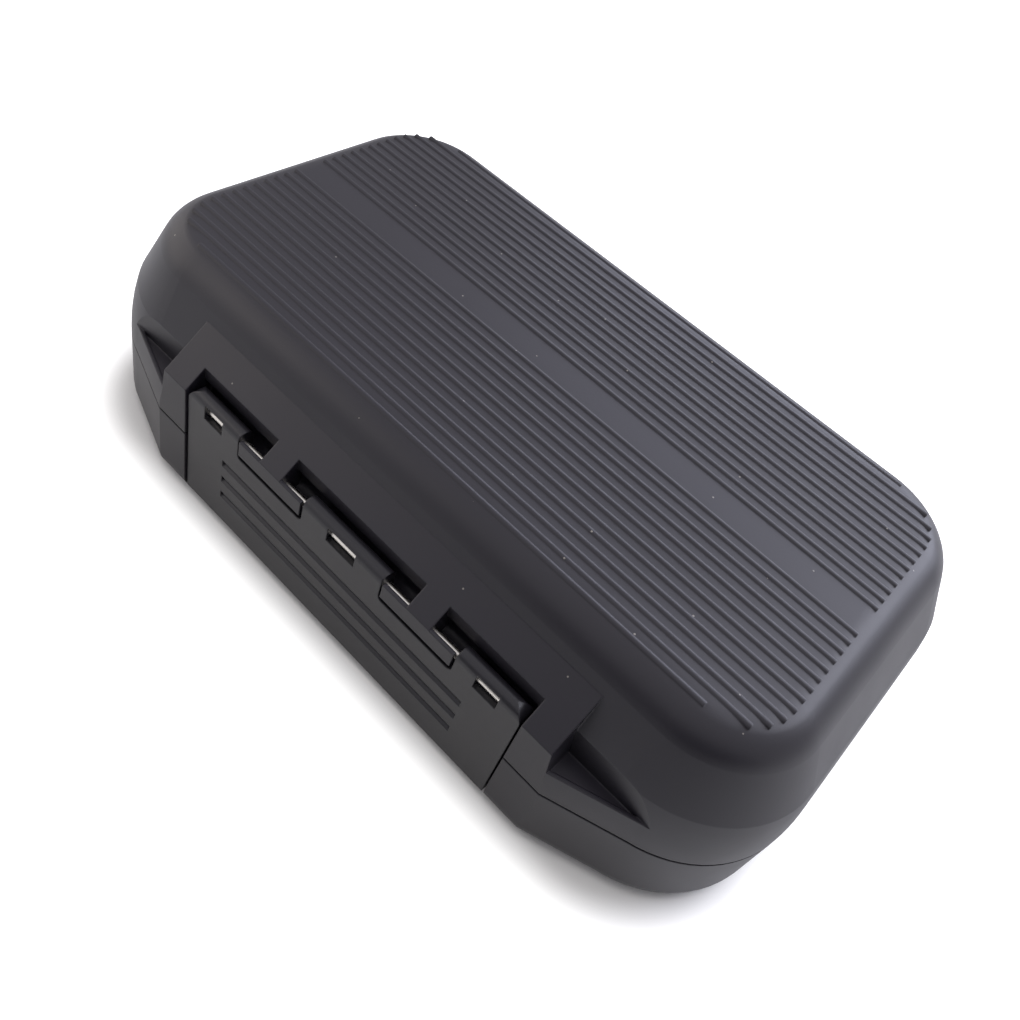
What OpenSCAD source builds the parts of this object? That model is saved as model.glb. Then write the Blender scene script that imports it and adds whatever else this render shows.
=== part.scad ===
// Pocket fly box: a black moulded clamshell with a domed lid and a shallow base.
// A rear hinge carries the lid, and a long front flap on a steel pin latches it.
// Both halves hold a plate with rows of slit foam for the flies.
// Lengths are in millimetres. The origin is the middle of the footprint, on the table.
// Most sizes are measured back from the front face of the latch block and up from the seam.

/* [Case] */
// Length of the lid at the crease between its dome and its rim band
case_l = 125; // [112:1:140]
// Width of the lid at the same crease
case_w = 69.6; // [66:0.2:84]
// Radius of the case corners, seen from above
corner_r = 17.5; // [16:0.5:20]
// Height of the lid above the seam
lid_h = 20.3; // [19:0.1:24]
// Height of the base below the seam
base_h = 13.6; // [12.8:0.1:16]
// Thickness of the moulded walls
wall = 1.8; // [1.5:0.1:2.1]
// Gap at the seam between the lid and the base
seam_gap = 0.4; // [0.3:0.05:0.6]

/* [Dome and rim] */
// Height of the rim band of the lid
lid_band = 9; // [8.5:0.1:9.5]
// How far the rim stands out at the seam, past the lid crease
seam_flare = 1.2; // [0.7:0.1:1.5]
// Lean of the dome wall, from upright, in degrees
lid_lean = 24; // [18:1:28]
// Radius of the edge between the dome wall and the top
lid_roll = 6.5; // [4.5:0.25:8]
// Radius of the bottom edge of the base
base_roll = 3.5; // [2.75:0.25:5]

/* [Lid ridges] */
// Number of ridges on each side of the smooth middle band
ridge_n = 13; // [8:1:13]
// Distance from one ridge to the next
ridge_pitch = 2; // [1.7:0.1:2.1]
// Width of a ridge
ridge_w = 0.8; // [0.6:0.1:1.2]
// Height of a ridge
ridge_h = 0.25; // [0.15:0.05:0.3]
// Distance between the two ridges beside the middle band
ridge_band = 6; // [4:0.5:7]
// Distance from the end of the lid to the ends of the ridges
ridge_margin = 8; // [7:0.5:12]
// Radius of the corners of the ridged field
ridge_corner = 8; // [5:0.5:10]

/* [Latch block] */
// Length of the block on the front of the case that carries the latch
block_l = 77.6; // [72:0.4:80]
// How much the ends of the block lean in towards its top
block_taper = 1.3; // [0.5:0.1:1.5]
// How far the block stands in front of the lid crease
front_step = 4.4; // [4.2:0.1:4.8]
// Angle of the sloping face over the latch
block_slope = 40; // [38:0.2:42]
// Height of the lip on the ledges beside the block
ledge_h = 4.9; // [4:0.1:6]
// Depth of the floor of a ledge below its lip
ledge_dip = 0.4; // [0.2:0.05:0.6]
// Width of the lip on a ledge
ledge_lip = 0.6; // [0.4:0.05:0.8]
// How far the case front is cut back over a ledge, behind the lid crease
ledge_cut = 0.2; // [0.1:0.05:0.4]

/* [Latch flap] */
// Length of the flap
flap_l = 64.6; // [60:0.2:68]
// Thickness of the flap at its hinge
flap_t = 2.6; // [2.4:0.05:2.8]
// Thickness of the flap below its hinge
flap_low_t = 1.9; // [1.6:0.05:2.1]
// How far the flap sits back from the face of the block
flap_inset = 0.3; // [0.1:0.05:0.5]
// Height of the top of the flap above its pin
flap_top = 2.4; // [2.3:0.05:2.5]
// Depth of the flap below the seam
flap_drop = 11.6; // [9.5:0.1:12]
// Radius of the top corners of the flap
flap_corner = 2; // [1:0.1:2.4]
// Height of the latch pin above the seam
pin_h = 7.4; // [7:0.1:7.8]
// Diameter of the latch pin
pin_d = 1.2; // [1:0.05:1.4]
// Clearance between the flap and the case
flap_gap = 0.35; // [0.3:0.05:0.5]
// Depth of the hook on the back of the flap
hook_d = 1; // [0.7:0.05:1]
// Depth of the undercut below the catch on the base
catch_d = 1.4; // [1:0.1:1.5]
// Depth of the catch on the base below the seam
catch_h = 4; // [3.5:0.1:4.4]

/* [Latch arms and windows] */
// Distance from the middle of the flap to each lid arm
arm_x = 14.45; // [13:0.25:16]
// Width of the neck of a lid arm
neck_w = 4.2; // [3.6:0.1:5]
// Width of the plate on a lid arm
arm_plate_w = 12.8; // [11:0.1:13.4]
// Clearance between the plate of an arm and the sides of its notch
arm_gap = 0.4; // [0.3:0.05:0.6]
// Distance from the pin down to the floor of a notch
notch_d = 2; // [1.95:0.05:2.2]
// Distance from the middle of the flap to each outer window
window_x = 26.7; // [25.5:0.1:28]
// Width of the outer windows
window_w = 3.9; // [3:0.1:4.4]
// Width of the middle window
middle_window_w = 5.4; // [4:0.1:6]
// Distance from the pin down to the sill of a window
window_sill = 0.7; // [0.65:0.05:0.9]
// Distance from the pin up to the head of a window
window_head = 1.7; // [1.5:0.05:1.8]

/* [Grip] */
// Number of finger grooves on the flap
grip_n = 3; // [1:1:3]
// Height of the top groove above the seam
grip_h = 0.9; // [0.6:0.1:2]
// Distance from one groove to the next
grip_pitch = 3.5; // [3:0.1:3.6]
// Length of a groove
grip_l = 48.6; // [40:0.2:54]
// Depth of a groove
grip_d = 0.4; // [0.3:0.05:0.6]

/* [Rear hinge] */
// Distance between the outer ends of the hinge knuckles
hinge_l = 60; // [54:1:70]
// Diameter of a knuckle
knuckle_d = 4.8; // [4.6:0.1:5]
// Diameter of the hinge pin
hinge_pin_d = 1.6; // [1.4:0.05:1.8]
// Length of the middle knuckle of the base
middle_knuckle_l = 18; // [14:0.5:22]
// Length of each lid knuckle
lid_knuckle_l = 12; // [10:0.5:14]
// Clearance between the knuckles, and between a knuckle and the rim
knuckle_gap = 0.4; // [0.3:0.05:0.5]

/* [Pins and seal] */
// Radial clearance of a pin in the knuckles that turn on it
run_clear = 0.05; // [0.03:0.01:0.08]
// Radial clearance of a pin in the knuckles that hold it
hold_clear = 0.02; // [0.01:0.01:0.03]
// Width of the seal ring
seal_w = 1.1; // [0.9:0.05:1.2]
// Height of the seal ring
seal_h = 1.1; // [0.9:0.05:1.3]
// Clearance of the seal ring in its groove
seal_clear = 0.05; // [0.03:0.01:0.1]
// How far the seal stands up out of the rim of the base
seal_proud = 0.1; // [0.05:0.01:0.12]

/* [Inserts] */
// Thickness of the plates that carry the foam
insert_t = 1.6; // [1.2:0.1:2]
// Clearance between a plate and the shell
insert_clear = 0.3; // [0.25:0.05:0.4]
// Height of the foam rows in the base
base_foam_h = 4.2; // [3.5:0.1:4.4]
// Height of the foam rows in the lid
lid_foam_h = 4.8; // [4:0.1:6]
// Width of a foam row
foam_w = 5.6; // [4.5:0.1:6.5]
// Distance from the side of the lid to the outer foam rows
foam_side = 10; // [9:0.25:12]
// Distance from the end of the lid to the ends of the foam rows
foam_margin = 14; // [12.5:0.5:18]

/* [Hidden] */
FOAM_ROWS = 6;
$fn = 64;

// Case: places measured back from the front face of the latch block
case_y = front_step + case_w / 2;
case_back = front_step + case_w + seam_flare;
hinge_y = case_back + knuckle_gap + knuckle_d / 2;
depth = hinge_y + knuckle_d / 2;
half_gap = seam_gap / 2;

// Rim band: an arc that stands upright at the seam and meets the dome at the crease
rim_arc_r = (pow(lid_band, 2) + pow(seam_flare, 2)) / (2 * seam_flare);
rim_in = wall / cos(lid_lean);

// Dome: a leaning wall, then a roll that ends in the flat top some way inside the crease
lid_roll_z = lid_h - lid_roll;
lid_roll_in = lid_roll * cos(lid_lean)
    + (lid_roll_z + lid_roll * sin(lid_lean) - lid_band) * tan(lid_lean);
base_in_roll = 2;

// Latch
pin_y = flap_inset + flap_t / 2;
flap_round = flap_t / 2;
slot_y = flap_inset + flap_t + flap_gap;
slot_l = flap_l + 2 * flap_gap;
pocket_r = flap_top + flap_gap;
arm_face = flap_inset / 2;
arm_low = 1.4;
arm_chamfer = 0.45;
arm_high = 1.7;
arm_lip_t = 0.6;
notch_w = arm_plate_w + 2 * arm_gap;
notch_corner = 0.8;
pin_l = flap_l - 1.6;
wall_line = front_step + rim_in - 0.2;
catch_l = grip_l + 4;
catch_room = 4.5;
hook_gap = 0.6;
groove_floor = 0.2;
groove_under = 0.3;
groove_over = 0.9;

// Block: where its slope runs into the wall of the lid, and how far its foot runs under the base
block_back = front_step / (1 - tan(block_slope) * tan(lid_lean)) + wall / 2;
foot_y = front_step + base_roll;

// Hinge
knuckle_r = knuckle_d / 2;
lid_knuckle_x = middle_knuckle_l / 2 + knuckle_gap + lid_knuckle_l / 2;
end_knuckle_l = hinge_l / 2 - lid_knuckle_x - lid_knuckle_l / 2 - knuckle_gap;
end_knuckle_x = hinge_l / 2 - end_knuckle_l / 2;
wall_back = case_back - seam_flare - rim_in / 2;

// Seal
seal_z = -half_gap + seal_proud;
seal_line = (seam_flare - rim_in) / 2;

// Plates and foam rows
base_insert_z = wall + insert_clear - base_h;
lid_insert_z = lid_h - wall - insert_clear;
foam_pitch = (case_w - 2 * foam_side - foam_w) / (FOAM_ROWS - 1);
foam_bevel = 1.2;

// Shoulders: the line from the block corner that runs into the rim of the round corner.
// It meets the rim a hair inside it, so that the two faces cross and don't just touch.
shoulder_sink = 0.03;
shoulder_r = corner_r + seam_flare - shoulder_sink;
shoulder_c = [case_l / 2 - corner_r, front_step + corner_r];
shoulder_p = [block_l / 2, 0];
shoulder_d = norm(shoulder_c - shoulder_p);
shoulder_a = atan2(shoulder_c[1] - shoulder_p[1], shoulder_c[0] - shoulder_p[0]) - asin(shoulder_r / shoulder_d);
shoulder_l = sqrt(pow(shoulder_d, 2) - pow(shoulder_r, 2));
shoulder_t = shoulder_p + shoulder_l * [cos(shoulder_a), sin(shoulder_a)];

shell_colour = "#29282d";
flap_colour = "#232226";
steel_colour = "#d9d4c6";
seal_colour = "#4a4a4d";
insert_colour = "#34353a";
foam_colour = "#b9bab5";
eps = 0.01;

// Frames: the seam at the block face, and the seam at the middle of the case
module at_seam() translate([0, -depth / 2, base_h]) children();
module at_case() translate([0, case_y, 0]) children();

// A bar along X whose section is drawn as (back, up)
module along_x(l) rotate([90, 0, 90]) linear_extrude(l, center = true) children();

// A round bar along X
module rod(l, r) rotate([0, 90, 0]) cylinder(h = l, r = r, center = true);

// Sweeps a section round the case; the section is drawn outwards from the crease line
module swept() {
    x = case_l / 2 - corner_r;
    y = case_w / 2 - corner_r;
    for (c = [[1, 1, 0], [-1, 1, 90], [-1, -1, 180], [1, -1, 270]])
        translate([c[0] * x, c[1] * y, 0])
            rotate(c[2])
                rotate_extrude(angle = 90) intersection() {
                    translate([corner_r, 0]) children();
                    translate([0, -case_l]) square(2 * case_l);
                }
    for (turn = [0, 180])
        rotate(turn) translate([0, case_w / 2, 0]) along_x(2 * x) children();
    for (turn = [90, 270])
        rotate(turn) translate([0, case_l / 2, 0]) along_x(2 * y) children();
}

// The same sweep with its middle filled from one height to another
module filled(low, high) {
    swept() children();
    translate([0, 0, (low + high) / 2])
        cube([case_l - 2 * corner_r, case_w - 2 * corner_r, high - low], center = true);
}

// A rectangle in the section from the corner centre out to a line
module section_box(out, low, high) translate([-corner_r, low]) square([corner_r + out, high - low]);

// Sections carried along a front face or a shoulder, from a depth inside the crease line
module rim_edge(deep) {
    translate([-deep, half_gap]) square([deep - 0.5, lid_band - half_gap]);
    intersection() {
        translate([seam_flare - rim_arc_r, 0]) circle(rim_arc_r);
        translate([-1, half_gap]) square([1 + seam_flare, lid_band - half_gap]);
    }
}

module base_edge(deep) {
    roll_x = seam_flare - base_roll;
    translate([-deep, -base_h]) square([deep + roll_x, base_h - half_gap]);
    translate([-deep, base_roll - base_h]) square([deep + seam_flare, base_h - base_roll - half_gap]);
    translate([roll_x, base_roll - base_h]) circle(base_roll);
}

// The dome wall at a radius round the centre of the roll: its top, and its place at a height
function dome_top(r) = lid_roll_z + r * sin(lid_lean);
function dome_x(r, z) = r * cos(lid_lean) - lid_roll_in + (dome_top(r) - z) * tan(lid_lean);

module lid_section() {
    top = dome_top(lid_roll);
    rim_edge(corner_r);
    polygon([[-corner_r, lid_band], [0, lid_band], [dome_x(lid_roll, top), top], [-corner_r, top]]);
    section_box(-lid_roll_in, top, lid_h);
    intersection() {
        translate([-lid_roll_in, lid_roll_z]) circle(lid_roll);
        section_box(0, top, lid_h);
    }
}

// The space inside the lid, drawn back from its wall by a clearance
module lid_space_section(clear, low) {
    r = lid_roll - wall - clear;
    top = dome_top(r);
    rim = dome_x(r, lid_band);
    side = low < lid_band ? [[rim, low], [rim, lid_band]] : [[dome_x(r, low), low]];
    if (low < top) polygon(concat([[-corner_r, low]], side, [[dome_x(r, top), top], [-corner_r, top]]));
    section_box(-lid_roll_in, max(low, top), lid_roll_z + r);
    intersection() {
        translate([-lid_roll_in, lid_roll_z]) circle(r);
        section_box(0, max(low, top), lid_roll_z + r);
    }
}

module base_section() base_edge(corner_r);

// The space inside the base, drawn back from its wall by a clearance
module base_space_section(clear, high) {
    r = base_in_roll - clear;
    roll_x = -rim_in - base_in_roll;
    roll_z = wall + base_in_roll - base_h;
    section_box(roll_x, roll_z - r, high);
    intersection() {
        translate([roll_x, roll_z]) circle(r);
        section_box(0, roll_z - r, min(high, roll_z));
    }
    if (high > roll_z) section_box(roll_x + r, roll_z, high);
}

// A section carried along the shoulder of one side, set in from the rim of the corner
module shoulder_side(side, inset) {
    mirror([side > 0 ? 0 : 1, 0, 0])
        translate([shoulder_c[0], shoulder_c[1], 0])
            rotate(180 + shoulder_a)
                translate([case_l / 2, corner_r - shoulder_sink - inset, 0]) along_x(case_l) children();
}

function slope_z(y) = lid_band + y * tan(block_slope);

// Half length of a ridge: the outer ones stop at the round corners of the field
function ridge_half(k) =
    let (
        in_y = (ridge_n - 1 - k) * ridge_pitch,
        short = in_y < ridge_corner ? ridge_corner - sqrt(pow(ridge_corner, 2) - pow(ridge_corner - in_y, 2)) : 0
    ) case_l / 2 - ridge_margin - short;

// Height of the lid over a place measured from its middle line
function lid_z(y) =
    lid_roll_z + sqrt(pow(lid_roll, 2) - pow(max(0, y + lid_roll_in - case_w / 2), 2));

// Round-topped ridges, sunk so that they are as wide and as high as asked
module lid_ridges() {
    r = (pow(ridge_w / 2, 2) + pow(ridge_h, 2)) / (2 * ridge_h);
    for (side = [-1, 1], k = [0 : ridge_n - 1]) {
        y = ridge_band / 2 + k * ridge_pitch;
        translate([0, side * y, lid_z(y) + ridge_h - r]) rod(2 * ridge_half(k), r);
    }
}

// The front block with its sloping face, back to the wall of the lid
module lid_block() {
    half = block_l / 2;
    high = half - block_taper;
    intersection() {
        along_x(block_l)
            polygon([
                [0, half_gap], [0, lid_band], [block_back, slope_z(block_back)],
                [wall_line, lid_band], [wall_line, half_gap]
            ]);
        translate([0, lid_h, 0])
            rotate([90, 0, 0])
                linear_extrude(2 * lid_h)
                    polygon([
                        [-half, 0], [half, 0], [high, lid_band],
                        [high, lid_h], [-high, lid_h], [-high, lid_band]
                    ]);
    }
}

// The shoulders that run from the block out to the rounded corners
module lid_shoulders() {
    intersection() {
        translate([-case_l / 2, 0, half_gap]) cube([case_l, wall_line, ledge_h - half_gap]);
        shoulder_side(1, 0) rim_edge(case_w);
        shoulder_side(-1, 0) rim_edge(case_w);
    }
}

// Cuts the rim band back to a flat wall over a ledge, and sinks the floor inside its lip
module ledge_recess(side) {
    near = block_l / 2 - 2;
    far = shoulder_t[0] + 2;
    deep = front_step + ledge_cut + 1;
    x = side > 0 ? near : -far;
    translate([x, -1, ledge_h]) cube([far - near, deep, lid_band]);
    intersection() {
        translate([x, -1, ledge_h - ledge_dip]) cube([far - near, deep, lid_band]);
        shoulder_side(side, ledge_lip) rim_edge(case_w);
    }
}

// Room for the flap in the lid: a straight slot and a round pocket behind the pin
module flap_room() {
    translate([0, slot_y / 2 - eps, lid_h / 2])
        cube([slot_l, slot_y + 2 * eps, lid_h], center = true);
    translate([0, pin_y, pin_h]) rod(slot_l, pocket_r);
}

// An arm of the lid: a neck over the pin and a wide plate in the notch of the flap
module lid_arm() {
    low = pin_h - arm_low;
    along_x(neck_w)
        polygon([
            [arm_face, low + arm_chamfer], [arm_face + arm_chamfer, low], [wall_line, low],
            [wall_line, slope_z(wall_line)], [arm_face, slope_z(arm_face)]
        ]);
    along_x(arm_plate_w)
        polygon([
            [arm_face, low + arm_chamfer], [arm_face + arm_chamfer, low], [pin_y + pin_d / 2, low],
            [pin_y + pin_d / 2, pin_h], [arm_face + arm_lip_t, pin_h],
            [arm_face + arm_lip_t, pin_h + arm_high], [arm_face, pin_h + arm_high]
        ]);
}

// A hinge knuckle with its arm; up is 1 on the lid and -1 on the base
module knuckle(l, up) {
    translate([0, hinge_y, 0]) rod(l, knuckle_r);
    along_x(l)
        polygon([
            [wall_back, up * half_gap], [hinge_y, up * half_gap],
            [hinge_y, up * knuckle_r], [wall_back, up * knuckle_r]
        ]);
}

module lid_shell() {
    color(shell_colour) at_seam() difference() {
        union() {
            difference() {
                union() {
                    difference() {
                        union() {
                            at_case() filled(half_gap, lid_h) lid_section();
                            at_case() lid_ridges();
                            lid_shoulders();
                        }
                        for (side = [-1, 1]) ledge_recess(side);
                    }
                    lid_block();
                }
                at_case() filled(-1, lid_h - wall) lid_space_section(0, -1);
                flap_room();
            }
            for (side = [-1, 1]) translate([side * arm_x, 0, 0]) lid_arm();
            for (side = [-1, 1]) translate([side * lid_knuckle_x, 0, 0]) knuckle(lid_knuckle_l, 1);
        }
        translate([0, pin_y, pin_h]) rod(2 * (arm_x + arm_plate_w), pin_d / 2 + hold_clear);
        translate([0, hinge_y, 0]) rod(hinge_l, hinge_pin_d / 2 + run_clear);
    }
}

// The front of the base: the block and its shoulders, all with the same bottom edge
module base_front() {
    intersection() {
        rotate(180) translate([0, -seam_flare, 0]) along_x(case_l) base_edge(foot_y - seam_flare);
        shoulder_side(1, 0) base_edge(case_w);
        shoulder_side(-1, 0) base_edge(case_w);
    }
}

module base_shell() {
    color(shell_colour) at_seam() difference() {
        union() {
            difference() {
                union() {
                    at_case() filled(-base_h, -half_gap) base_section();
                    base_front();
                }
                at_case() filled(wall - base_h, 1) base_space_section(0, 1);
                translate([-slot_l / 2, -1, -base_h - 1]) cube([slot_l, slot_y + 1, base_h + 2]);
                translate([-catch_l / 2, slot_y - 1, -catch_h - catch_room])
                    cube([catch_l, catch_d + 1, catch_room]);
            }
            knuckle(middle_knuckle_l, -1);
            for (side = [-1, 1]) translate([side * end_knuckle_x, 0, 0]) knuckle(end_knuckle_l, -1);
        }
        at_case() swept()
            translate([seal_line - seal_w / 2 - seal_clear, seal_z - seal_h - seal_clear])
                square([seal_w + 2 * seal_clear, seal_h + 1]);
        translate([0, hinge_y, 0]) rod(hinge_l + 1, hinge_pin_d / 2 + hold_clear);
    }
}

module rim_seal() {
    color(seal_colour) at_seam() at_case() swept() {
        translate([seal_line - seal_w / 2, seal_z - seal_h]) square([seal_w, seal_h - seal_w / 2]);
        intersection() {
            translate([seal_line, seal_z - seal_w / 2]) circle(seal_w / 2);
            translate([seal_line - seal_w / 2, seal_z - seal_w / 2]) square([seal_w, seal_w / 2]);
        }
    }
}

// Outline of the flap seen from the front, with its notches and windows
module flap_outline() {
    top = pin_h + flap_top;
    half = flap_l / 2;
    difference() {
        union() {
            translate([-half, -flap_drop]) square([flap_l, top - flap_corner + flap_drop]);
            translate([flap_corner - half, -flap_drop]) square([flap_l - 2 * flap_corner, top + flap_drop]);
            for (side = [-1, 1]) translate([side * (half - flap_corner), top - flap_corner]) circle(flap_corner);
        }
        for (side = [-1, 1]) translate([side * arm_x, pin_h - notch_d]) {
            translate([-notch_w / 2, notch_corner]) square([notch_w, top]);
            translate([notch_corner - notch_w / 2, 0]) square([notch_w - 2 * notch_corner, top]);
            for (end = [-1, 1]) translate([end * (notch_w / 2 - notch_corner), notch_corner]) circle(notch_corner);
        }
        for (w = [[-window_x, window_w], [0, middle_window_w], [window_x, window_w]])
            translate([w[0] - w[1] / 2, pin_h - window_sill]) square([w[1], window_sill + window_head]);
    }
}

// Section of the flap: a thick round-topped hinge, a thin plate and a hook behind it
module flap_section() {
    knee = pin_h - notch_d - 1;
    back = flap_inset + flap_low_t;
    round_z = pin_h + flap_top - flap_round;
    hook_z = -catch_h - hook_gap;
    translate([flap_inset, -flap_drop]) square([flap_low_t, flap_drop + knee + 1]);
    translate([flap_inset, knee]) square([flap_t, round_z - knee]);
    translate([pin_y, round_z]) circle(flap_round);
    hook_y = min(back + hook_d, flap_inset + flap_t);
    polygon([[back - 0.5, hook_z - 2], [back, hook_z - 2], [hook_y, hook_z - 0.5], [hook_y, hook_z], [back - 0.5, hook_z]]);
}

module latch_flap() {
    color(flap_colour) at_seam() difference() {
        intersection() {
            along_x(flap_l) flap_section();
            translate([0, 2 * flap_t, 0]) rotate([90, 0, 0]) linear_extrude(3 * flap_t) flap_outline();
        }
        translate([0, pin_y, pin_h]) rod(flap_l + 1, pin_d / 2 + run_clear);
        for (k = [0 : grip_n - 1])
            translate([0, flap_inset, grip_h - k * grip_pitch])
                along_x(grip_l)
                    polygon([
                        [-eps, -groove_under], [grip_d, 0], [grip_d, groove_floor],
                        [-eps, groove_floor + groove_over]
                    ]);
    }
}

module latch_pin() {
    color(steel_colour) at_seam() translate([0, pin_y, pin_h]) rod(pin_l, pin_d / 2);
}

module hinge_pin() {
    color(steel_colour) at_seam() translate([0, hinge_y, 0]) rod(hinge_l, hinge_pin_d / 2);
}

module base_insert() {
    high = base_insert_z + insert_t;
    color(insert_colour) at_seam() at_case()
        filled(base_insert_z, high) base_space_section(insert_clear, high);
}

module lid_insert() {
    low = lid_insert_z - insert_t;
    color(insert_colour) at_seam() at_case()
        filled(low, lid_insert_z) lid_space_section(insert_clear, low);
}

// A foam row with its long edges bevelled; it grows from its plate towards the flies
module foam_row(i, h, up) {
    y = (i - (FOAM_ROWS + 1) / 2) * foam_pitch;
    half = foam_w / 2;
    translate([0, y, 0])
        along_x(case_l - 2 * foam_margin)
            polygon([
                [-half, 0], [half, 0], [half, up * (h - foam_bevel)], [half - foam_bevel, up * h],
                [foam_bevel - half, up * h], [-half, up * (h - foam_bevel)]
            ]);
}

module base_foam(i) {
    color(foam_colour) at_seam() at_case()
        translate([0, 0, base_insert_z + insert_t]) foam_row(i, base_foam_h, 1);
}

module lid_foam(i) {
    color(foam_colour) at_seam() at_case()
        translate([0, 0, lid_insert_z - insert_t]) foam_row(i, lid_foam_h, -1);
}

base_shell();
lid_shell();
latch_flap();
latch_pin();
hinge_pin();
rim_seal();
base_insert();
lid_insert();
for (i = [1 : FOAM_ROWS]) {
    base_foam(i);
    lid_foam(i);
}
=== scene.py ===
# %% [markdown]
# # A pocket fly box
#
# The box is a clamshell of black moulded plastic. A domed lid with fine ridges
# closes on a shallow base, and a long flap on a steel pin latches the front.
# The solids come from the CAD model, in metres, and stay where they are. What is
# left to do here is the finish of each piece, the slit foam inside, and the
# studio with its camera.

# %% Load the solids
import math

import bpy
from mathutils import Matrix, Vector


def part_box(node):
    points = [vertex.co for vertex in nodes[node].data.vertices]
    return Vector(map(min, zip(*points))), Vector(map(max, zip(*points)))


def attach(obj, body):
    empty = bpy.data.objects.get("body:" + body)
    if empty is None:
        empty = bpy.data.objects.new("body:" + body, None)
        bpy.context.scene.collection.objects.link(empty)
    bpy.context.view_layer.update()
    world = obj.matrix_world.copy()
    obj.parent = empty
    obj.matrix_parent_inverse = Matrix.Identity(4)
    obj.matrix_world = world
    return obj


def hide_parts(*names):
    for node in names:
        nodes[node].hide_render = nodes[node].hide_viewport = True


MM = 0.001

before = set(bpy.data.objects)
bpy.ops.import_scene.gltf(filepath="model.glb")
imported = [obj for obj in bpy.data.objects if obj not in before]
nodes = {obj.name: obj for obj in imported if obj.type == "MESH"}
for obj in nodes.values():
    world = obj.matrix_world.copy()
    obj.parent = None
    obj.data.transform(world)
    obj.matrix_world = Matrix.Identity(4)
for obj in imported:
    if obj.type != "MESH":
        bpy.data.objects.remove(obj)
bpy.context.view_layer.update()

# %% [markdown]
# ## Helpers
#
# A node tree is easier to read when a node, its settings and its links are
# written as one call. An input that is given a socket is linked to it, one that
# is given a node is linked to that node's first output, and any other value is
# set on the input itself. Colours are written as the hex values that a picture
# editor shows, and one function turns them to the linear values that the
# renderer works in.

# %% One call for one node
def add_node(tree, kind, links=None, **settings):
    node = tree.nodes.new(kind)
    for name, value in settings.items():
        setattr(node, name, value)
    for name, value in (links or {}).items():
        if isinstance(value, bpy.types.Node):
            value = value.outputs[0]
        if isinstance(value, bpy.types.NodeSocket):
            tree.links.new(value, node.inputs[name])
        else:
            node.inputs[name].default_value = value
    return node


def linear(hex_colour):
    parts = [int(hex_colour[i : i + 2], 16) / 255 for i in (1, 3, 5)]
    return [p / 12.92 if p <= 0.04045 else ((p + 0.055) / 1.055) ** 2.4 for p in parts] + [1.0]


def new_material(name):
    material = bpy.data.materials.new(name)
    material.use_nodes = True
    material.node_tree.nodes.clear()
    return material, material.node_tree


# %% [markdown]
# ## Camera
#
# The photograph looks down on the right front corner from close by, with the
# camera rolled, so the long edges run from the upper left to the lower right.
# The place, the aim and the roll below put the corners of the case, the windows
# of the flap and the ends of the ridges where the photograph has them. The view
# transform is Standard, so that a colour shows as it is written.

# %% Place the camera
CAMERA_PLACE = Vector((47.56, -98.01, 125.76)) * MM
CAMERA_AIM = Vector((-0.65, -5.39, 15.0)) * MM
CAMERA_ROLL = math.radians(20.75)

camera_data = bpy.data.cameras.new("camera")
camera_data.lens = 34.37
camera_data.sensor_width = 36
camera_data.shift_x = 0.0096
camera_data.shift_y = -0.0489
camera_data.clip_start = 0.01
camera = bpy.data.objects.new("camera", camera_data)
toward_aim = (CAMERA_AIM - CAMERA_PLACE).to_track_quat("-Z", "Y").to_matrix().to_4x4()
roll = Matrix.Rotation(CAMERA_ROLL, 4, "Z")
camera.matrix_world = Matrix.Translation(CAMERA_PLACE) @ toward_aim @ roll
bpy.context.scene.collection.objects.link(camera)
bpy.context.scene.camera = camera
bpy.context.scene.view_settings.view_transform = "Standard"
print("camera to aim in mm:", round((CAMERA_AIM - CAMERA_PLACE).length / MM, 1))

# %% [markdown]
# ## Ridges that fade to the left
#
# In the photograph the ridges on the lid show faintly, and faintest at the left
# end. The ridges of the solid have one height, and a lower one at the left would
# have to be modelled in the CAD source. The material can do it more simply: near
# the top of the lid the normal leans towards the lid's own up direction, by a
# share that grows from right to left, so the flanks of the ridges shade less.

# %% Lean the normals near the top
LEAN_STARTS = 33.3 * MM  # just below the top of the lid, which is 33.9 mm high
LEAN_FULL = 33.8 * MM
LEFT_END = -45 * MM
RIGHT_END = 45 * MM
LEAN_LEFT = 1.5
LEAN_RIGHT = 0.5


def faint_ridges(tree, place, normal):
    spot = add_node(tree, "ShaderNodeSeparateXYZ", {"Vector": place}).outputs
    heights = {"Value": spot["Z"], "From Min": LEAN_STARTS, "From Max": LEAN_FULL}
    near_top = add_node(tree, "ShaderNodeMapRange", heights)
    ends = {"From Min": LEFT_END, "From Max": RIGHT_END, "To Min": LEAN_LEFT, "To Max": LEAN_RIGHT}
    share = add_node(tree, "ShaderNodeMapRange", {"Value": spot["X"], **ends})
    lean = add_node(tree, "ShaderNodeMath", {0: near_top, 1: share}, operation="MULTIPLY")
    up = add_node(
        tree,
        "ShaderNodeVectorTransform",
        {"Vector": (0, 0, 1)},
        vector_type="NORMAL",
        convert_from="OBJECT",
        convert_to="WORLD",
    )
    upward = add_node(tree, "ShaderNodeVectorMath", {0: up, "Scale": lean}, operation="SCALE")
    total = add_node(tree, "ShaderNodeVectorMath", {0: normal, 1: upward}, operation="ADD")
    return add_node(tree, "ShaderNodeVectorMath", {0: total}, operation="NORMALIZE")


# %% [markdown]
# ## Dust
#
# Dark satin plastic shows each speck that settles on it. Real specks could be
# scattered as small meshes, but flat spots in the colour are enough at this
# size. A Voronoi texture gives one spot in each cell, its random colour decides
# which cells have a speck, and only faces that point up keep one.

# %% Specks on the faces that point up
DUST_CELL = 3.2 * MM
DUST_SIZE = 0.14 * MM
DUST_SLOPE = 0.5  # the upward part of the normal of a face that lies 60 degrees from level
DUST_COLOUR = "#787470"


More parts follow.
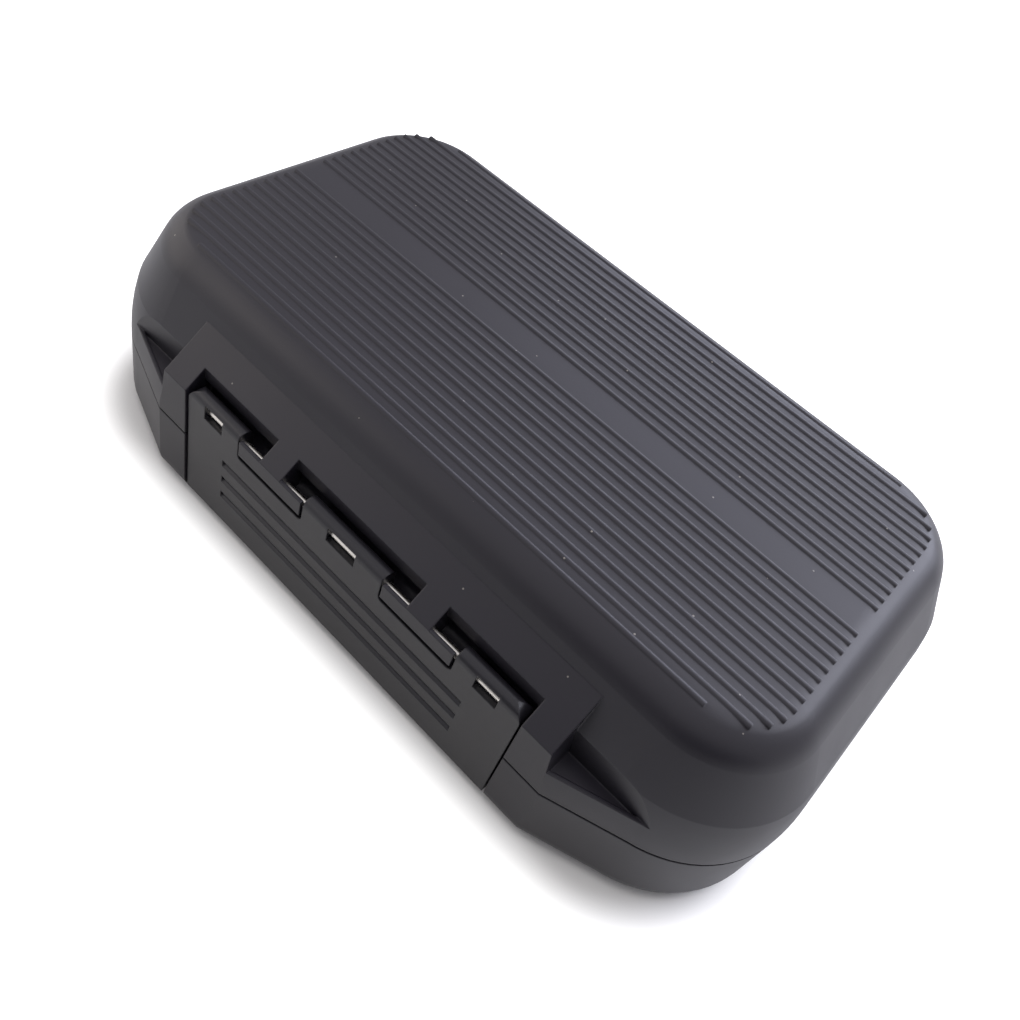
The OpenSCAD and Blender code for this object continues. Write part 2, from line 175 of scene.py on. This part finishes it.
def dust_specks(tree, place, chance):
    cells = add_node(tree, "ShaderNodeTexVoronoi", {"Vector": place, "Scale": 1 / DUST_CELL}).outputs
    spot = {0: cells["Distance"], 1: DUST_SIZE / DUST_CELL}
    near = add_node(tree, "ShaderNodeMath", spot, operation="LESS_THAN")
    draw = add_node(tree, "ShaderNodeSeparateColor", {"Color": cells["Color"]}).outputs["Red"]
    chosen = add_node(tree, "ShaderNodeMath", {0: draw, 1: chance}, operation="LESS_THAN")
    facing = add_node(tree, "ShaderNodeNewGeometry").outputs["True Normal"]
    slope = add_node(tree, "ShaderNodeSeparateXYZ", {"Vector": facing}).outputs["Z"]
    level = add_node(tree, "ShaderNodeMath", {0: slope, 1: DUST_SLOPE}, operation="GREATER_THAN")
    speck = add_node(tree, "ShaderNodeMath", {0: near, 1: chosen}, operation="MULTIPLY")
    return add_node(tree, "ShaderNodeMath", {0: speck, 1: level}, operation="MULTIPLY")


# %% [markdown]
# ## Black moulded plastic
#
# The shells and the flap are ABS, injection moulded in a tool whose faces were
# spark eroded. That gives a satin black with a fine even grain. The plastic is
# so dark that nearly all that the eye sees is the soft reflection of the room,
# which is strongest where a face is seen at a low angle. Moulded edges are
# rounded by a few tenths of a millimetre, so they catch a thin line of light:
# the Bevel node turns the normal there and leaves the mesh alone.

# %% Satin ABS
GRAIN = 0.35 * MM  # a spark-eroded grain is about 0.05 mm: drawn coarser, so that it shows
GRAIN_DETAIL = 3.0
GRAIN_STRENGTH = 0.2
GRAIN_DEPTH = 0.02 * MM
MOTTLE = 14 * MM
MOTTLE_DETAIL = 4.0
MOTTLE_LOW = 0.3
MOTTLE_HIGH = 0.7
MOTTLE_ROUGHNESS = 0.03
EDGE = 0.28 * MM
EDGE_SAMPLES = 6
ABS_IOR = 1.54
COLOUR_A = 6  # a Mix node's colour sockets share their names with others, so they have numbers
COLOUR_B = 7
COLOUR_RESULT = 2


def moulded_abs(name, colour, roughness, dust_chance):
    material, tree = new_material(name)
    place = add_node(tree, "ShaderNodeTexCoord").outputs["Object"]
    patches = {"Vector": place, "Scale": 1 / MOTTLE, "Detail": MOTTLE_DETAIL}
    spread = {
        "Value": add_node(tree, "ShaderNodeTexNoise", patches),
        "From Min": MOTTLE_LOW,
        "From Max": MOTTLE_HIGH,
        "To Min": roughness - MOTTLE_ROUGHNESS,
        "To Max": roughness + MOTTLE_ROUGHNESS,
    }
    gloss = add_node(tree, "ShaderNodeMapRange", spread)
    edge = add_node(tree, "ShaderNodeBevel", {"Radius": EDGE}, samples=EDGE_SAMPLES)
    fine = {"Vector": place, "Scale": 1 / GRAIN, "Detail": GRAIN_DETAIL}
    grain = {
        "Strength": GRAIN_STRENGTH,
        "Distance": GRAIN_DEPTH,
        "Height": add_node(tree, "ShaderNodeTexNoise", fine),
        "Normal": faint_ridges(tree, place, edge),
    }
    bump = add_node(tree, "ShaderNodeBump", grain)
    specks = dust_specks(tree, place, dust_chance)
    paint = {"Factor": specks, COLOUR_A: linear(colour), COLOUR_B: linear(DUST_COLOUR)}
    tint = add_node(tree, "ShaderNodeMix", paint, data_type="RGBA").outputs[COLOUR_RESULT]
    finish = {"Base Color": tint, "Roughness": gloss, "IOR": ABS_IOR, "Normal": bump}
    shader = add_node(tree, "ShaderNodeBsdfPrincipled", finish)
    add_node(tree, "ShaderNodeOutputMaterial", {"Surface": shader})
    return material


shell_abs = moulded_abs("moulded_abs_satin_black", "#1c1a21", roughness=0.41, dust_chance=0.35)
flap_abs = moulded_abs("moulded_abs_flap_black", "#1a191e", roughness=0.36, dust_chance=0.2)
plate_abs = moulded_abs("moulded_abs_plate", "#222329", roughness=0.5, dust_chance=0.0)
print("plastics:", [material.name for material in (shell_abs, flap_abs, plate_abs)])

# %% [markdown]
# ## Steel, rubber and foam
#
# The two pins are drawn stainless wire, whose fine marks run along the wire. The
# seal is a moulded silicone ring, dull and a little grey. The rows that hold the
# flies are closed-cell EVA foam, pale and matt, with cells about half a
# millimetre across.

# %% Drawn steel wire
WIRE_MARKS_PER_METRE = (60.0, 9000.0, 9000.0)  # a mark is about 17 mm long and 0.11 mm wide
WIRE_DETAIL = 2.0
WIRE_SMOOTH = 0.25
WIRE_ROUGH = 0.45
WIRE_MARK_STRENGTH = 0.15
WIRE_MARK_DEPTH = 0.01 * MM


def drawn_steel(name):
    material, tree = new_material(name)
    place = add_node(tree, "ShaderNodeTexCoord").outputs["Object"]
    along = add_node(tree, "ShaderNodeMapping", {"Vector": place, "Scale": WIRE_MARKS_PER_METRE})
    marks = add_node(tree, "ShaderNodeTexNoise", {"Vector": along, "Scale": 1.0, "Detail": WIRE_DETAIL})
    spread = {"Value": marks, "To Min": WIRE_SMOOTH, "To Max": WIRE_ROUGH}
    gloss = add_node(tree, "ShaderNodeMapRange", spread)
    scratches = {"Strength": WIRE_MARK_STRENGTH, "Distance": WIRE_MARK_DEPTH, "Height": marks}
    bump = add_node(tree, "ShaderNodeBump", scratches)
    finish = {"Base Color": linear("#efebe2"), "Metallic": 1.0, "Roughness": gloss, "Normal": bump}
    shader = add_node(tree, "ShaderNodeBsdfPrincipled", finish)
    add_node(tree, "ShaderNodeOutputMaterial", {"Surface": shader})
    return material


# %% Silicone rubber
BLOOM = 3 * MM
BLOOM_DETAIL = 3.0


def silicone(name):
    material, tree = new_material(name)
    place = add_node(tree, "ShaderNodeTexCoord").outputs["Object"]
    patches = {"Vector": place, "Scale": 1 / BLOOM, "Detail": BLOOM_DETAIL}
    bloom = add_node(tree, "ShaderNodeTexNoise", patches)
    greys = {"Factor": bloom, COLOUR_A: linear("#3c3c40"), COLOUR_B: linear("#4a4a4e")}
    tint = add_node(tree, "ShaderNodeMix", greys, data_type="RGBA").outputs[COLOUR_RESULT]
    finish = {"Base Color": tint, "Roughness": 0.62, "IOR": 1.41}
    shader = add_node(tree, "ShaderNodeBsdfPrincipled", finish)
    add_node(tree, "ShaderNodeOutputMaterial", {"Surface": shader})
    return material


# %% Closed-cell foam
FOAM_CELL = 0.5 * MM
FOAM_CELL_STRENGTH = 0.5
FOAM_CELL_DEPTH = 0.08 * MM
FOAM_PATCH = 8 * MM
FOAM_PATCH_DETAIL = 3.0


def eva_foam(name):
    material, tree = new_material(name)
    place = add_node(tree, "ShaderNodeTexCoord").outputs["Object"]
    soft = {"Vector": place, "Scale": 1 / FOAM_PATCH, "Detail": FOAM_PATCH_DETAIL}
    patches = add_node(tree, "ShaderNodeTexNoise", soft)
    greys = {"Factor": patches, COLOUR_A: linear("#a9aaa6"), COLOUR_B: linear("#c3c4bf")}
    tint = add_node(tree, "ShaderNodeMix", greys, data_type="RGBA").outputs[COLOUR_RESULT]
    cells = add_node(tree, "ShaderNodeTexVoronoi", {"Vector": place, "Scale": 1 / FOAM_CELL})
    pores = {"Strength": FOAM_CELL_STRENGTH, "Distance": FOAM_CELL_DEPTH, "Height": cells}
    bump = add_node(tree, "ShaderNodeBump", pores)
    finish = {"Base Color": tint, "Roughness": 0.85, "IOR": 1.5, "Normal": bump}
    shader = add_node(tree, "ShaderNodeBsdfPrincipled", finish)
    add_node(tree, "ShaderNodeOutputMaterial", {"Surface": shader})
    return material


steel = drawn_steel("stainless_steel_drawn_wire")
rubber = silicone("silicone_rubber_seal")
foam = eva_foam("eva_foam_closed_cell")
print("other materials:", [material.name for material in (steel, rubber, foam)])

# %% [markdown]
# ## Finish the solids
#
# Each solid keeps its mesh and gets one material. The table below says which.

# %% Give each solid its material
FINISH = {
    "base_shell": shell_abs,
    "lid_shell": shell_abs,
    "latch_flap": flap_abs,
    "latch_pin": steel,
    "hinge_pin": steel,
    "rim_seal": rubber,
    "base_insert": plate_abs,
    "lid_insert": plate_abs,
}
for name, material in FINISH.items():
    nodes[name].data.materials.clear()
    nodes[name].data.materials.append(material)
print("finished solids:", len(FINISH))

# %% [markdown]
# ## Slit foam rows
#
# A foam row is a low bar with a slit every few millimetres, and a fly's hook is
# pressed into a slit. A thin wafer stands between two slits. A row is the same
# wafer many times, so Geometry Nodes make it: a wafer is a short line with a
# round-shouldered outline swept along it, placed on the points of a mesh line,
# and leaning a little by a seeded random angle. One bar under the wafers ties
# them together, as the uncut foam below the slits does.

# %% Where the wafers stand
def wafer_places(tree, size):
    fit = add_node(tree, "ShaderNodeMath", {0: size["Length"], 1: size["Spacing"]}, operation="DIVIDE")
    count = add_node(tree, "ShaderNodeMath", {0: fit}, operation="FLOOR")
    gaps = add_node(tree, "ShaderNodeMath", {0: count, 1: 1.0}, operation="SUBTRACT")
    run = add_node(tree, "ShaderNodeMath", {0: gaps, 1: size["Spacing"]}, operation="MULTIPLY")
    first = add_node(tree, "ShaderNodeMath", {0: run, 1: -0.5}, operation="MULTIPLY")
    start = add_node(tree, "ShaderNodeCombineXYZ", {"X": first})
    step = add_node(tree, "ShaderNodeCombineXYZ", {"X": size["Spacing"]})
    line = {"Count": count, "Start Location": start, "Offset": step}
    return add_node(tree, "GeometryNodeMeshLine", line, mode="OFFSET")


# %% One wafer
SHOULDER_POINTS = 3


def one_wafer(tree, size):
    sides = {"Width": size["Width"], "Height": size["Height"]}
    block = add_node(tree, "GeometryNodeCurvePrimitiveQuadrilateral", sides)
    corners = {"Curve": block, "Radius": size["Shoulder"], "Count": SHOULDER_POINTS}
    outline = add_node(tree, "GeometryNodeFilletCurve", corners, mode="POLY")
    foam_left = {0: size["Spacing"], 1: size["Slit"]}
    thickness = add_node(tree, "ShaderNodeMath", foam_left, operation="SUBTRACT")
    back = add_node(tree, "ShaderNodeMath", {0: thickness, 1: -0.5}, operation="MULTIPLY")
    front = add_node(tree, "ShaderNodeMath", {0: thickness, 1: 0.5}, operation="MULTIPLY")
    start = add_node(tree, "ShaderNodeCombineXYZ", {"X": back})
    end = add_node(tree, "ShaderNodeCombineXYZ", {"X": front})
    path = add_node(tree, "GeometryNodeCurvePrimitiveLine", {"Start": start, "End": end})
    sweep = {"Curve": path, "Profile Curve": outline, "Fill Caps": True}
    return add_node(tree, "GeometryNodeCurveToMesh", sweep)


# %% How each wafer leans
def wafer_lean(tree, size):
    other_way = add_node(tree, "ShaderNodeMath", {0: size["Lean"], 1: -1.0}, operation="MULTIPLY")
    least = add_node(tree, "ShaderNodeCombineXYZ", {"Y": other_way})
    most = add_node(tree, "ShaderNodeCombineXYZ", {"Y": size["Lean"]})
    draw = {"Min": least, "Max": most, "Seed": size["Seed"]}
    return add_node(tree, "FunctionNodeRandomValue", draw, data_type="FLOAT_VECTOR")


# %% The uncut foam under the slits
def uncut_bar(tree, size):
    sides = {"X": size["Length"], "Y": size["Width"], "Z": size["Uncut"]}
    block = add_node(tree, "ShaderNodeCombineXYZ", sides)
    bar = add_node(tree, "GeometryNodeMeshCube", {"Size": block})
    above = {0: size["Height"], 1: size["Uncut"]}
    slit_depth = add_node(tree, "ShaderNodeMath", above, operation="SUBTRACT")
    drop = add_node(tree, "ShaderNodeMath", {0: slit_depth, 1: -0.5}, operation="MULTIPLY")
    down = add_node(tree, "ShaderNodeCombineXYZ", {"Z": drop})
    return add_node(tree, "GeometryNodeTransform", {"Geometry": bar, "Translation": down})


# %% Build the tree of a foam row
FOAM_SIZES = {
    "Spacing": 2.9 * MM,
    "Slit": 0.3 * MM,
    "Uncut": 1.3 * MM,
    "Shoulder": 1.1 * MM,
    "Lean": math.radians(2.0),
}


def foam_row_tree():
    tree = bpy.data.node_groups.new("slit_foam_row", "GeometryNodeTree")
    for name in ("Length", "Width", "Height", *FOAM_SIZES):
        tree.interface.new_socket(name, in_out="INPUT", socket_type="NodeSocketFloat")
    tree.interface.new_socket("Seed", in_out="INPUT", socket_type="NodeSocketInt")
    tree.interface.new_socket("Material", in_out="INPUT", socket_type="NodeSocketMaterial")
    tree.interface.new_socket("Geometry", in_out="OUTPUT", socket_type="NodeSocketGeometry")
    size = add_node(tree, "NodeGroupInput").outputs
    standing = {
        "Points": wafer_places(tree, size),
        "Instance": one_wafer(tree, size),
        "Rotation": wafer_lean(tree, size),
    }
    wafers = add_node(tree, "GeometryNodeInstanceOnPoints", standing)
    joined = add_node(tree, "GeometryNodeJoinGeometry")
    for piece in (wafers, uncut_bar(tree, size)):
        tree.links.new(piece.outputs[0], joined.inputs[0])
    real = add_node(tree, "GeometryNodeRealizeInstances", {"Geometry": joined})
    one_material = {"Geometry": real, "Material": size["Material"]}
    painted = add_node(tree, "GeometryNodeSetMaterial", one_material)
    add_node(tree, "NodeGroupOutput", {"Geometry": painted})
    return tree


row_tree = foam_row_tree()
lengths = {name: round(size / MM, 2) for name, size in FOAM_SIZES.items() if name != "Lean"}
print("sizes of a foam row in mm:", lengths)


# %% Make the twelve rows where the solids of the rows are
ROWS_PER_HALF = 6
FIRST_SEED = {"base": 1, "lid": 11}


def foam_row(node, seed, up):
    low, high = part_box(node)
    length, width, height = high - low
    row = bpy.data.objects.new(node + "_slit", bpy.data.meshes.new("start"))
    bpy.context.scene.collection.objects.link(row)
    maker = row.modifiers.new("row", "NODES")
    maker.node_group = row_tree
    values = {"Length": length, "Width": width, "Height": height, "Seed": seed, "Material": foam}
    values.update(FOAM_SIZES)
    for socket in row_tree.interface.items_tree:
        if socket.name in values:
            maker[socket.identifier] = values[socket.name]
    made = row.evaluated_get(bpy.context.evaluated_depsgraph_get())
    mesh = bpy.data.meshes.new_from_object(made)
    row.modifiers.clear()
    if not up:
        mesh.transform(Matrix.Rotation(math.pi, 4, "X"))
    mesh.transform(Matrix.Translation((low + high) / 2))
    row.data = mesh
    return row


for body in ("base", "lid"):
    for i in range(ROWS_PER_HALF):
        node = f"{body}_foam_{i + 1}"
        row = foam_row(node, seed=FIRST_SEED[body] + i, up=body == "base")
        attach(row, body)
        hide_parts(node)
print("triangles in a foam row:", sum(len(face.vertices) - 2 for face in row.data.polygons))

# %% [markdown]
# ## Studio
#
# The photograph was taken in soft daylight on a white ground, of which only the
# soft grey shadow round the box is left. The floor takes the real shadow of the
# box, and a glow that only the camera sees lifts it to white a few millimetres
# away from the box. The glow is kept low close to the box, so the grey band round
# it is partly real shadow and partly painted shade. A soft window behind the box
# gives the sheen on the far edge, and a second one stands higher and further to
# the right. The left side of the room is weaker and warmer. A ceiling lamp fills
# from above and isn't seen in reflections. A dark card at the front right stands
# for the dim side of the room behind the camera: its dark colour is painted shade
# that the front faces mirror, and it casts no shadow.

# %% A flat sheet
def flat_sheet(name, corners, material):
    mesh = bpy.data.meshes.new(name)
    mesh.from_pydata(corners, [], [(0, 1, 2, 3)])
    mesh.materials.append(material)
    sheet = bpy.data.objects.new(name, mesh)
    bpy.context.scene.collection.objects.link(sheet)
    return sheet


# %% Floor
FLOOR_HALF = 3.0
BOX_CORE = (45 * MM, 22 * MM, 0.0)  # half sides of a rectangle that the box reaches 18 mm past
GLOW_STARTS = 16 * MM
GLOW_FULL = 24 * MM
GLOW_NEAR = 0.02
GLOW_FAR = 0.75


# Close to the box the camera-only glow stays near zero and rises only further out, so the grey band
# round the box is partly its real shadow and partly painted shade.
def floor_with_painted_shade(name):
    material, tree = new_material(name)
    place = add_node(tree, "ShaderNodeTexCoord").outputs["Object"]
    sides = add_node(tree, "ShaderNodeVectorMath", {0: place}, operation="ABSOLUTE")
    beyond = add_node(tree, "ShaderNodeVectorMath", {0: sides, 1: BOX_CORE}, operation="SUBTRACT")
    outside = add_node(tree, "ShaderNodeVectorMath", {0: beyond, 1: (0, 0, 0)}, operation="MAXIMUM")
    away = add_node(tree, "ShaderNodeVectorMath", {0: outside}, operation="LENGTH").outputs["Value"]
    ramp = {"From Min": GLOW_STARTS, "From Max": GLOW_FULL, "To Min": GLOW_NEAR, "To Max": GLOW_FAR}
    rising = {"Value": away, **ramp}
    level = add_node(tree, "ShaderNodeMapRange", rising, interpolation_type="SMOOTHSTEP")
    camera_ray = add_node(tree, "ShaderNodeLightPath").outputs["Is Camera Ray"]
    seen = add_node(tree, "ShaderNodeMath", {0: camera_ray, 1: level}, operation="MULTIPLY")
    ground = add_node(tree, "ShaderNodeBsdfDiffuse", {"Color": linear("#e6e6e6")})
    glow = add_node(tree, "ShaderNodeEmission", {"Color": linear("#ffffff"), "Strength": seen})
    both = add_node(tree, "ShaderNodeAddShader", {0: ground, 1: glow})
    add_node(tree, "ShaderNodeOutputMaterial", {"Surface": both})
    return material


floor_corners = [(x * FLOOR_HALF, y * FLOOR_HALF, 0) for x, y in ((-1, -1), (1, -1), (1, 1), (-1, 1))]
floor = flat_sheet("floor", floor_corners, floor_with_painted_shade("paper_floor_painted_shade"))

# %% World
WORLD_LIGHT = 0.42
WORLD_MIRRORED = 0.7

world = bpy.data.worlds.new("studio")
bpy.context.scene.world = world
world.use_nodes = True
sky = world.node_tree
sky.nodes.clear()
ray = add_node(sky, "ShaderNodeLightPath").outputs
bent = {0: ray["Is Glossy Ray"], 1: ray["Is Transmission Ray"]}
mirrored = add_node(sky, "ShaderNodeMath", bent, operation="MAXIMUM")
levels = {"Value": mirrored, "To Min": WORLD_LIGHT, "To Max": WORLD_MIRRORED}
level = add_node(sky, "ShaderNodeMapRange", levels)
seen = add_node(sky, "ShaderNodeMath", {0: level, 1: ray["Is Camera Ray"]}, operation="ADD")
light = add_node(sky, "ShaderNodeBackground", {"Color": linear("#faf8ff"), "Strength": seen})
add_node(sky, "ShaderNodeOutputWorld", {"Surface": light})


# %% Lamps
def soft_lamp(name, place, size, watts, colour):
    data = bpy.data.lights.new(name, "AREA")
    data.shape = "RECTANGLE"
    data.size, data.size_y = size
    data.energy = watts
    data.color = linear(colour)[:3]
    lamp = bpy.data.objects.new(name, data)
    place = Vector(place)
    toward_box = (-place).to_track_quat("-Z", "Y").to_matrix().to_4x4()
    lamp.matrix_world = Matrix.Translation(place) @ toward_box
    bpy.context.scene.collection.objects.link(lamp)
    return lamp


soft_lamp("window_behind", place=(0.1, 0.85, 0.4), size=(1.2, 0.4), watts=5.8, colour="#e6eaff")
soft_lamp("window_right", place=(0.42, 0.62, 0.75), size=(0.6, 0.6), watts=4.6, colour="#eef0ff")
soft_lamp("room_left", place=(-0.9, -0.3, 0.45), size=(1.1, 0.9), watts=3.2, colour="#fff6ee")
ceiling = soft_lamp("ceiling", place=(0.0, 0.0, 1.0), size=(0.7, 0.7), watts=4.5, colour="#fffdfa")
ceiling.visible_glossy = False

# %% Dark card on the side of the camera
CARD_LEFT = (-0.1, -0.5)
CARD_RIGHT = (1.2, -0.3)
CARD_HEIGHT = 0.35

# The card's dark colour is painted shade for the dim side of the room: the front faces mirror it, the
# camera doesn't see it and it casts no shadow.
card_paper, card_tree = new_material("dark_card_painted_shade")
paper = add_node(card_tree, "ShaderNodeBsdfDiffuse", {"Color": linear("#262626")})
add_node(card_tree, "ShaderNodeOutputMaterial", {"Surface": paper})
card_foot = [(*CARD_LEFT, 0), (*CARD_RIGHT, 0)]
card_head = [(*CARD_RIGHT, CARD_HEIGHT), (*CARD_LEFT, CARD_HEIGHT)]
card = flat_sheet("dark_card", card_foot + card_head, card_paper)
card.visible_camera = False
card.visible_shadow = False
